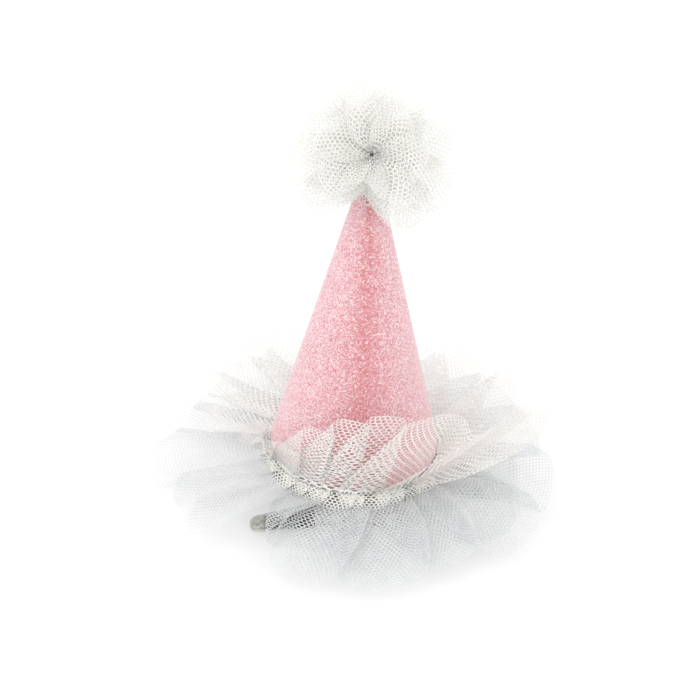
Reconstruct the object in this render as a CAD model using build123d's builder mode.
"""Mini party hat on a hair clip, in millimetres.

+Z is up, +X is to the wearer's side that the clip's handle points to, and -Y is the front.  The origin is
on the table under the middle of the brim.
"""

from build123d import *
from math import atan2, cos, hypot, sin
import os

os.makedirs("parts", exist_ok=True)

# ---------------------------------------------------------------- driving dimensions
cone_foot_z = 15.0  # plane of the cone's open edge
cone_radius = 25.0
cone_height = 105.0
fabric_thickness = 0.6
card_thickness = 0.5
layer_gap = 0.05  # between two glued layers
tip_cap = 1.0  # solid height at the tip, where the fabric is rolled shut

disc_radius = 22.8
disc_thickness = 1.2
disc_chamfer = 0.4

felt_radius = 26.5
felt_bottom_z = 8.6
felt_thickness = 1.2
felt_edge = 0.4
clip_glue_width = 5.2
clip_glue_margin = 3.0  # how much shorter than the handle
clip_glue_corner = 2.0

brim_radius = 58.5
brim_bore = 14.0
brim_wall = 1.9
glue_ring = (18.0, 22.5)  # inner and outer radius
glue_edge = 0.6
upper_bore = 16.0
lobe_count = 16
lobe_notch = 4.2  # depth of the notch between two lobes
shoulder_radius = 27.0  # where the gathered edge ends and the ruffle begins
lower_header_z = (9.85, 11.55)
upper_header_z = (13.15, 14.9)
upper_rim = (50.0, 40.0)  # half width and half depth of the upper ruffle's rim
upper_rim_centre = (2.0, 9.0, 30.5)
upper_rim_tilt = 14.0
upper_wall = 1.6

thread_radius = 0.25
thread_ring = 24.2

pompom_centre_z = 112.8
pompom_radius = 21.7
socket_clearance = 0.15
tip_glue_wall = 0.8
tip_glue_from = 3.4  # radius of the cone where the glue starts
tip_glue_cap = 1.2
knot_centre = (0.0, -9.0, 117.5)
knot_axis = (0.0, -0.8, 0.6)
tie_radius = 1.9
tie_thread = 0.45

# the clip, in its own frame: u runs from jaw to handle, w is up, the hinge stands over u = 0
clip_tip = (-29.0, -25.5)
clip_heel = (15.6, -19.0)
jaw_length = 30.0
steel = 0.6
clip_width = 8.0
clip_tip_width = 5.0
clip_top_w = 8.2
tip_top_w = 1.75
hinge_w = 4.9
pin_radius = 0.8
ear_radius = 2.2
lever_tip_width = 4.2
lever_hinge_top_w = 2.75
lever_end_top_w = 0.95
tooth_pitch = 1.6
tooth_depth = 0.55
tooth_count = 8
first_tooth = 3.0  # from the tip
flange_start = -5.0
flange_rise = 2.2  # how far the flanges stand off the lever at their root
flange_gap = 0.12
jaw_shoulder = -8.0  # where the jaws start to taper
lever_neck = 4.6  # the lever stays between the fixed ears as far as this from the hinge
pin_seat = 0.02
pin_running = 0.05
pin_head = (0.4, 0.45)  # how far it stands out round the pin, and its thickness
pin_head_edge = 0.3
handle_corner = 2.4
ear_gap = 0.15  # between the lever's ears and the fixed ones
ear_flare = 0.6
lever_ear_flare = 0.4
coil_radii = (1.15, 1.75)
coil_length = 4.6
spring_leg = 9.5
spring_gap = 0.08  # between each leg and the plate it presses on

# ---------------------------------------------------------------- cone
slope = cone_radius / cone_height
wall = hypot(1.0, slope)  # level width of one millimetre of wall


def cone_line(inset, z):
    """Radius at height z of the cone's outer face moved inwards by inset."""
    return cone_radius - (z - cone_foot_z) * slope - inset * wall


def cone_top(inset, radius):
    """Height at which that face has narrowed to the given radius."""
    return cone_foot_z + (cone_radius - inset * wall - radius) / slope


def polygon(*corners):
    """Draw a straight-sided face through the corners, where they stand, in the open sketch."""
    Polygon(*corners, align=None)


def draw_cone_shell(outer, inner):
    """Draw the half section of a conical shell between two insets."""
    top = cone_top(inner, 0) + tip_cap
    polygon(
        (cone_line(outer, cone_foot_z), cone_foot_z),
        (cone_line(outer, top), top),
        (0, top),
        (0, top - tip_cap),
        (cone_line(inner, cone_foot_z), cone_foot_z),
    )


with BuildPart() as cone_cover:
    with BuildSketch(Plane.XZ):
        draw_cone_shell(0, fabric_thickness)
    revolve(axis=Axis.Z)
cone_cover.part.label = "cone_cover"
export_step(cone_cover.part, "parts/cone_cover.step")

core_outer = fabric_thickness + layer_gap
core_inner = core_outer + card_thickness
with BuildPart() as cone_core:
    with BuildSketch(Plane.XZ):
        draw_cone_shell(core_outer, core_inner)
    revolve(axis=Axis.Z)
cone_core.part.label = "cone_core"
export_step(cone_core.part, "parts/cone_core.step")

with BuildPart() as base_disc:
    with BuildSketch(Plane.XY.offset(cone_foot_z)):
        Circle(disc_radius)
    extrude(amount=disc_thickness)
    chamfer(base_disc.edges().group_by(Axis.Z)[-1], disc_chamfer)
base_disc.part.label = "base_disc"
export_step(base_disc.part, "parts/base_disc.step")

# ---------------------------------------------------------------- brim
lower_bottom, lower_top = lower_header_z
with BuildPart() as brim_ruffle_lower:
    with BuildSketch(Plane.XZ):
        polygon(
            (brim_bore, lower_bottom),
            (shoulder_radius, lower_bottom),
            (brim_radius, 0),
            (brim_radius, brim_wall),
            (shoulder_radius, lower_top),
            (brim_bore, lower_top),
        )
    revolve(axis=Axis.Z)
    with BuildSketch(Plane.XY):
        with PolarLocations(brim_radius, lobe_count, start_angle=180 / lobe_count):
            RegularPolygon(lobe_notch, 4)
    extrude(amount=lower_top, mode=Mode.SUBTRACT)
    with BuildSketch(Plane.XY.offset(lower_top)):
        Circle(thread_ring + thread_radius)
        Circle(thread_ring - thread_radius, mode=Mode.SUBTRACT)
    extrude(amount=-2 * thread_radius, mode=Mode.SUBTRACT)
brim_ruffle_lower.part.label = "brim_ruffle_lower"
export_step(brim_ruffle_lower.part, "parts/brim_ruffle_lower.step")

upper_bottom, upper_top = upper_header_z
foot_plane = Plane.XY.offset(upper_bottom)
rim_plane = Plane(upper_rim_centre).rotated((-upper_rim_tilt, 0, 0))
with BuildPart() as brim_ruffle_upper:
    with BuildSketch(foot_plane):
        Circle(shoulder_radius)
    with BuildSketch(rim_plane):
        Ellipse(*upper_rim)
    loft()
    with BuildSketch(foot_plane):
        Circle(shoulder_radius - upper_wall)
    with BuildSketch(rim_plane.offset(upper_wall / 2)):
        Ellipse(upper_rim[0] - upper_wall, upper_rim[1] - upper_wall)
    loft(mode=Mode.SUBTRACT)
    with BuildSketch(foot_plane):
        Circle(shoulder_radius)
        Circle(upper_bore, mode=Mode.SUBTRACT)
    extrude(amount=upper_top - upper_bottom)
    with BuildSketch(foot_plane):
        Circle(thread_ring + thread_radius)
        Circle(thread_ring - thread_radius, mode=Mode.SUBTRACT)
    extrude(amount=2 * thread_radius, mode=Mode.SUBTRACT)
brim_ruffle_upper.part.label = "brim_ruffle_upper"
export_step(brim_ruffle_upper.part, "parts/brim_ruffle_upper.step")


def thread_ring_at(z):
    """Round thread laid in a ring, centred at height z."""
    with BuildPart() as ring:
        with BuildSketch(Plane.XZ):
            with Locations((thread_ring, z)):
                Circle(thread_radius - layer_gap)
        revolve(axis=Axis.Z)
    return ring.part


thread_heights = {
    "gathering_thread_upper": upper_bottom + thread_radius,
    "gathering_thread_lower": lower_top - thread_radius,
}
for name, height in thread_heights.items():
    thread = thread_ring_at(height)
    thread.label = name
    export_step(thread, f"parts/{name}.step")

with BuildPart() as brim_glue:
    with BuildSketch(Plane.XY.offset(lower_top + layer_gap)):
        Circle(glue_ring[1])
        Circle(glue_ring[0], mode=Mode.SUBTRACT)
    extrude(amount=upper_bottom - lower_top - 2 * layer_gap)
    fillet(brim_glue.edges(), glue_edge)
brim_glue.part.label = "brim_glue"
export_step(brim_glue.part, "parts/brim_glue.step")

with BuildPart() as brim_felt:
    with BuildSketch(Plane.XY.offset(felt_bottom_z)):
        Circle(felt_radius)
    extrude(amount=felt_thickness)
    fillet(brim_felt.edges(), felt_edge)
brim_felt.part.label = "brim_felt"
export_step(brim_felt.part, "parts/brim_felt.step")

# ---------------------------------------------------------------- clip
clip_yaw = atan2(clip_heel[1] - clip_tip[1], clip_heel[0] - clip_tip[0])
along = Vector(cos(clip_yaw), sin(clip_yaw), 0)
across = Vector(-sin(clip_yaw), cos(clip_yaw), 0)
hinge_foot = Vector(*clip_tip) + along * jaw_length
handle_length = hypot(clip_heel[0] - clip_tip[0], clip_heel[1] - clip_tip[1]) - jaw_length
plan_plane = Plane(origin=hinge_foot, x_dir=along, z_dir=(0, 0, 1))
side_plane = Plane(origin=hinge_foot, x_dir=along, z_dir=-across)
ear_outer = clip_width / 2
lever_ear_outer = ear_outer - steel - ear_gap
jaw_fall = (clip_top_w - tip_top_w) / jaw_length
lever_jaw_fall = (lever_hinge_top_w - lever_end_top_w) / jaw_length
lever_handle_fall = (lever_hinge_top_w - lever_end_top_w) / handle_length


def draw_jaw_plan(half_root, half_tip, inset):
    """Draw the outline seen from above: a straight root, then a jaw that tapers to a round tip."""
    root, tip, end = half_root - inset, half_tip - inset, inset - jaw_length
    polygon(
        (end + tip, -tip), (jaw_shoulder, -root), (handle_length + 1, -root),
        (handle_length + 1, root), (jaw_shoulder, root), (end + tip, tip),
    )
    with Locations((end + tip, 0)):
        Circle(tip)


def upper_w(u):
    """Top of the upper arm."""
    return clip_top_w + min(u, 0) * jaw_fall


def lever_w(u):
    """Top of the lever's plate."""
    if u < 0:
        return lever_hinge_top_w + u * lever_jaw_fall
    return lever_hinge_top_w - u * lever_handle_fall


def plate(top, *stations):
    """Draw the side view of a sheet whose top follows the height function through the stations."""
    polygon(
        *[(u, top(u)) for u in stations],
        *[(u, top(u) - steel) for u in reversed(stations)],
    )


def lip_w(u):
    """Lower edge of the upper jaw's side flanges, which closes down onto the lever at the tip."""
    return lever_w(u) + flange_gap + flange_rise * (u + jaw_length) / (jaw_length + flange_start)


with BuildPart() as jaw_hollow:
    with BuildSketch(side_plane):
        polygon(
            (flange_start + 1, upper_w(flange_start + 1) - steel),
            (-jaw_length, upper_w(-jaw_length) - steel),
            (-jaw_length, -1),
            (flange_start + 1, -1),
        )
    extrude(amount=clip_width, both=True)
    with BuildSketch(plan_plane):
        draw_jaw_plan(ear_outer, clip_tip_width / 2, steel)
    extrude(amount=clip_top_w + 1, mode=Mode.INTERSECT)

with BuildPart() as clip_upper_arm:
    # the jaw starts as a solid wedge; hollowing it leaves a top plate and two side flanges
    with BuildSketch(side_plane):
        polygon(
            (flange_start, upper_w(flange_start)),
            (-jaw_length, upper_w(-jaw_length)),
            (-jaw_length, lip_w(-jaw_length)),
            (flange_start, lip_w(flange_start)),
        )
    extrude(amount=clip_width, both=True)
    with BuildSketch(plan_plane):
        draw_jaw_plan(ear_outer, clip_tip_width / 2, 0)
    extrude(amount=clip_top_w + 1, mode=Mode.INTERSECT)
    add(jaw_hollow.part, mode=Mode.SUBTRACT)
    with BuildSketch(side_plane):
        for tooth in range(tooth_count):
            u = first_tooth - jaw_length + tooth * tooth_pitch
            w = lip_w(u)
            polygon((u - tooth_pitch / 3, w - 0.3), (u, w + tooth_depth), (u + tooth_pitch / 3, w - 0.3))
    extrude(amount=clip_width, both=True, mode=Mode.SUBTRACT)
    with BuildSketch(side_plane):
        plate(upper_w, flange_start - 0.5, 0, handle_length)
    extrude(amount=ear_outer, both=True)
    fillet(clip_upper_arm.edges().filter_by(Axis.Z).sort_by(Axis((0, 0, 0), along))[-2:], handle_corner)
    for side in (-1, 1):
        with BuildSketch(side_plane.offset(side * (ear_outer - steel / 2))):
            with BuildLine():
                Polyline(
                    (-ear_radius, hinge_w),
                    (-ear_radius - ear_flare, upper_w(-ear_radius - ear_flare) - steel / 2),
                    (ear_radius + ear_flare, clip_top_w - steel / 2),
                    (ear_radius, hinge_w),
                )
                ThreePointArc(
                    (ear_radius, hinge_w), (0, hinge_w - ear_radius), (-ear_radius, hinge_w)
                )
            make_face()
            with Locations((0, hinge_w)):
                Circle(pin_radius + pin_seat, mode=Mode.SUBTRACT)
        extrude(amount=steel / 2, both=True)
clip_upper_arm.part.label = "clip_upper_arm"
export_step(clip_upper_arm.part, "parts/clip_upper_arm.step")

lever_root = ear_radius + lever_ear_flare
with BuildPart() as clip_lever:
    with BuildSketch(side_plane):
        plate(lever_w, -jaw_length, 0, handle_length)
    extrude(amount=clip_width, both=True)
    with BuildSketch(plan_plane):
        draw_jaw_plan(lever_ear_outer, lever_tip_width / 2, 0)
        polygon(
            (lever_neck, -lever_ear_outer),
            (lever_neck + 2, -ear_outer),
            (handle_length, -ear_outer),
            (handle_length, ear_outer),
            (lever_neck + 2, ear_outer),
            (lever_neck, lever_ear_outer),
        )
    extrude(amount=clip_top_w, mode=Mode.INTERSECT)
    fillet(clip_lever.edges().filter_by(Axis.Z).sort_by(Axis((0, 0, 0), along))[-2:], handle_corner)
    for side in (-1, 1):
        with BuildSketch(side_plane.offset(side * (lever_ear_outer - steel / 2))):
            with BuildLine():
                Polyline(
                    (ear_radius, hinge_w),
                    (lever_root, lever_w(lever_root) - steel / 2),
                    (-lever_root, lever_w(-lever_root) - steel / 2),
                    (-ear_radius, hinge_w),
                )
                ThreePointArc(
                    (-ear_radius, hinge_w), (0, hinge_w + ear_radius), (ear_radius, hinge_w)
                )
            make_face()
            with Locations((0, hinge_w)):
                Circle(pin_radius + pin_running, mode=Mode.SUBTRACT)
        extrude(amount=steel / 2, both=True)
clip_lever.part.label = "clip_lever"
export_step(clip_lever.part, "parts/clip_lever.step")

with BuildPart() as clip_hinge_pin:
    with BuildSketch(side_plane):
        with Locations((0, hinge_w)):
            Circle(pin_radius)
    extrude(amount=ear_outer + 0.1, both=True)
    for side in (-1, 1):
        with BuildSketch(side_plane.offset(side * (ear_outer + 0.05))):
            with Locations((0, hinge_w)):
                Circle(pin_radius + pin_head[0])
        extrude(amount=side * pin_head[1])
    fillet(clip_hinge_pin.faces().sort_by(Axis((0, 0, 0), across))[0].edges(), pin_head_edge)
    fillet(clip_hinge_pin.faces().sort_by(Axis((0, 0, 0), across))[-1].edges(), pin_head_edge)
clip_hinge_pin.part.label = "clip_hinge_pin"
export_step(clip_hinge_pin.part, "parts/clip_hinge_pin.step")

coil_inner, coil_outer = coil_radii
wire = coil_outer - coil_inner
leg_v = (coil_length - wire) / 2
upper_leg_w = clip_top_w - steel - spring_gap
lower_leg_w = lever_w(spring_leg) + spring_gap
with BuildPart() as clip_spring:
    with BuildSketch(side_plane):
        with Locations((0, hinge_w)):
            Circle(coil_outer)
            Circle(coil_inner, mode=Mode.SUBTRACT)
    extrude(amount=coil_length / 2, both=True)
    with BuildSketch(side_plane.offset(leg_v)):
        polygon(
            (0, hinge_w + coil_outer),
            (spring_leg, upper_leg_w),
            (spring_leg, upper_leg_w - wire),
            (0, hinge_w + coil_inner),
        )
    with BuildSketch(side_plane.offset(-leg_v)):
        polygon(
            (0, hinge_w - coil_outer),
            (spring_leg, lower_leg_w),
            (spring_leg, lower_leg_w + wire),
            (0, hinge_w - coil_inner),
        )
    extrude(amount=wire / 2, both=True)
clip_spring.part.label = "clip_spring"
export_step(clip_spring.part, "parts/clip_spring.step")

with BuildPart() as clip_glue:
    with BuildSketch(plan_plane.offset(clip_top_w + layer_gap)):
        with Locations((handle_length / 2, 0)):
            RectangleRounded(handle_length - clip_glue_margin, clip_glue_width, clip_glue_corner)
    extrude(amount=felt_bottom_z - clip_top_w - 2 * layer_gap)
clip_glue.part.label = "clip_glue"
export_step(clip_glue.part, "parts/clip_glue.step")

# ---------------------------------------------------------------- pom-pom
tip_z = cone_top(fabric_thickness, 0) + tip_cap
glue_bottom_z = cone_top(0, tip_glue_from)
glue_top_z = tip_z + tip_glue_cap
glue_radius = cone_line(0, glue_bottom_z) + tip_glue_wall
socket_z = glue_bottom_z - socket_clearance
pompom_bottom = pompom_centre_z - pompom_radius
knot_plane = Plane(origin=knot_centre, z_dir=knot_axis)
with BuildPart() as pompom_rosette:
    with Locations((0, 0, pompom_centre_z)):
        Sphere(pompom_radius)
    with BuildSketch(Plane.XZ):
        polygon(
            (0, pompom_bottom - 1),
            (cone_line(0, pompom_bottom - 1) + socket_clearance, pompom_bottom - 1),
            (cone_line(0, socket_z) + socket_clearance, socket_z),
            (glue_radius + socket_clearance, socket_z),
            (glue_radius + socket_clearance, glue_top_z + socket_clearance),
            (0, glue_top_z + socket_clearance),
        )
    revolve(axis=Axis.Z, mode=Mode.SUBTRACT)
    with Locations(knot_plane):
        Torus(tie_radius, tie_thread + layer_gap, mode=Mode.SUBTRACT)
pompom_rosette.part.label = "pompom_rosette"
export_step(pompom_rosette.part, "parts/pompom_rosette.step")

with BuildPart() as pompom_tie_thread:
    with Locations(knot_plane):
        Torus(tie_radius, tie_thread)
pompom_tie_thread.part.label = "pompom_tie_thread"
export_step(pompom_tie_thread.part, "parts/pompom_tie_thread.step")

with BuildPart() as tip_glue:
    with BuildSketch(Plane.XZ):
        polygon(
            (cone_line(0, glue_bottom_z) + layer_gap, glue_bottom_z),
            (glue_radius, glue_bottom_z + 1),
            (glue_radius * 0.6, glue_top_z),
            (0, glue_top_z),
            (0, tip_z + layer_gap),
            (cone_line(0, tip_z) + layer_gap, tip_z + layer_gap),
        )
    revolve(axis=Axis.Z)
tip_glue.part.label = "tip_glue"
export_step(tip_glue.part, "parts/tip_glue.step")
